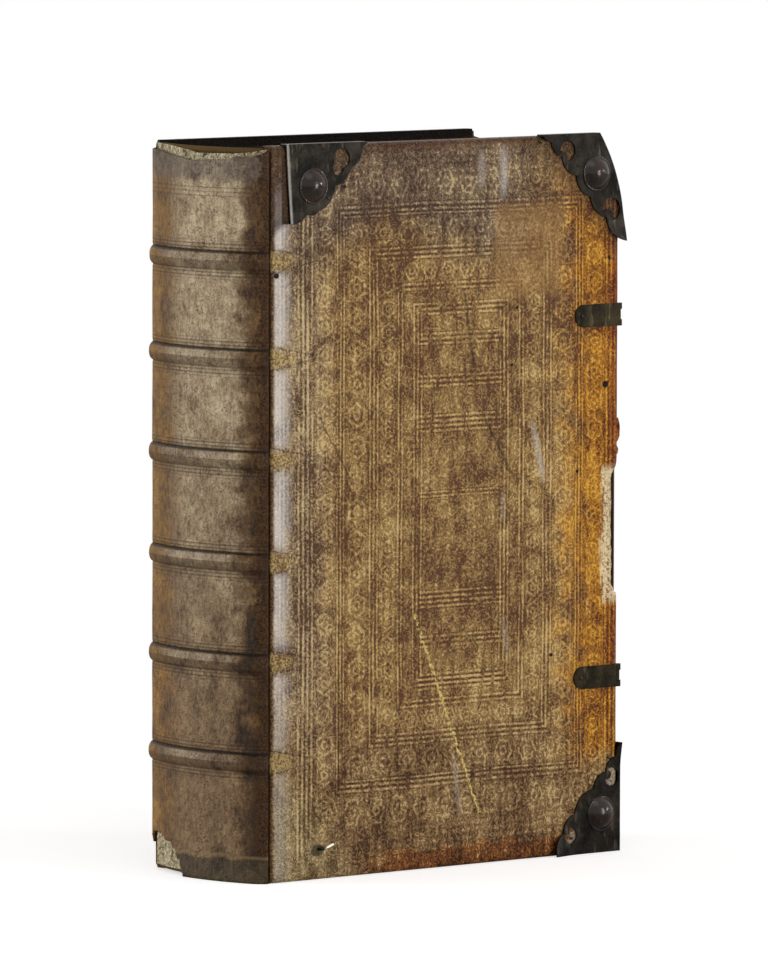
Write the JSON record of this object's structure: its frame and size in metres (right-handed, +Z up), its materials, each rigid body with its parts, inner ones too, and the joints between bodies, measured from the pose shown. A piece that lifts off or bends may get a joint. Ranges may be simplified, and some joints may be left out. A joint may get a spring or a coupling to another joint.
{
  "type": "antique leather-bound book",
  "caption": "Old folio in blind-tooled leather over wooden boards, with raised bands on the spine, pierced metal corner plates with domed bosses, clasp plates and two hinged covers.",
  "frame": {"origin": "middle of the standing book's footprint, on the surface it stands on", "axes": "+Z up from tail to head, +X from the spine to the fore-edge, -Y out of the front cover"},
  "size_m": [0.2545, 0.1028, 0.3809],
  "materials": {
    "page_paper": "aged rag paper, browned edges",
    "lining": "stiff glued lining, pale grey-beige",
    "spine_leather": "worn blind-ruled leather, grey-brown",
    "front_leather": "blind-tooled leather, worn to golden brown",
    "back_leather": "blind-tooled leather, worn brown",
    "hemp_cord": "twisted hemp",
    "endband_thread": "thread over a cord core, soiled",
    "board_wood": "old quarter-sawn board, dull",
    "endpaper": "aged paper, foxed",
    "plate_brass": "dark patinated sheet brass",
    "boss_brass": "dark glossy cast brass",
    "clasp_brass": "dark patinated sheet brass",
    "pin_iron": "worn grey iron wire",
    "nail_brass": "bent nail, tarnished with a green ring"
  },
  "bodies": {
    "book_block": {"text_block": "page_paper", "spine_lining_1": "lining", "spine_lining_2": "lining", "spine_lining_3": "lining", "spine_lining_4": "lining", "spine_lining_5": "lining", "spine_lining_6": "lining", "spine_lining_7": "lining", "spine_leather": "spine_leather", "sewing_cord_1": "hemp_cord", "sewing_cord_2": "hemp_cord", "sewing_cord_3": "hemp_cord", "sewing_cord_4": "hemp_cord", "sewing_cord_5": "hemp_cord", "sewing_cord_6": "hemp_cord", "head_endband": "endband_thread", "tail_endband": "endband_thread"},
    "front_cover": {"front_board": "board_wood", "front_leather": "front_leather", "front_pastedown": "endpaper", "front_cord_slip_1": "hemp_cord", "front_cord_slip_2": "hemp_cord", "front_cord_slip_3": "hemp_cord", "front_cord_slip_4": "hemp_cord", "front_cord_slip_5": "hemp_cord", "front_cord_slip_6": "hemp_cord", "head_spine_corner_plate": "plate_brass", "head_fore_corner_plate": "plate_brass", "tail_fore_corner_plate": "plate_brass", "head_spine_boss": "boss_brass", "head_fore_boss": "boss_brass", "tail_fore_boss": "boss_brass", "upper_clasp_plate": "clasp_brass", "lower_clasp_plate": "clasp_brass", "upper_clasp_pin": "pin_iron", "lower_clasp_pin": "pin_iron", "bent_nail": "nail_brass"},
    "back_cover": {"back_board": "board_wood", "back_leather": "back_leather", "back_pastedown": "endpaper", "back_cord_slip_1": "hemp_cord", "back_cord_slip_2": "hemp_cord", "back_cord_slip_3": "hemp_cord", "back_cord_slip_4": "hemp_cord", "back_cord_slip_5": "hemp_cord", "back_cord_slip_6": "hemp_cord"}
  },
  "joints": [
    {"name": "front_cover_hinge", "type": "hinge", "parent": "book_block", "child": "front_cover", "pos_m": [-0.11125, -0.04425, 0.19], "axis": [0, 0, -1], "range_deg": [0, 175]},
    {"name": "back_cover_hinge", "type": "hinge", "parent": "book_block", "child": "back_cover", "pos_m": [-0.11125, 0.05015, 0.19], "axis": [0, 0, 1], "range_deg": [0, 175]}
  ]
}
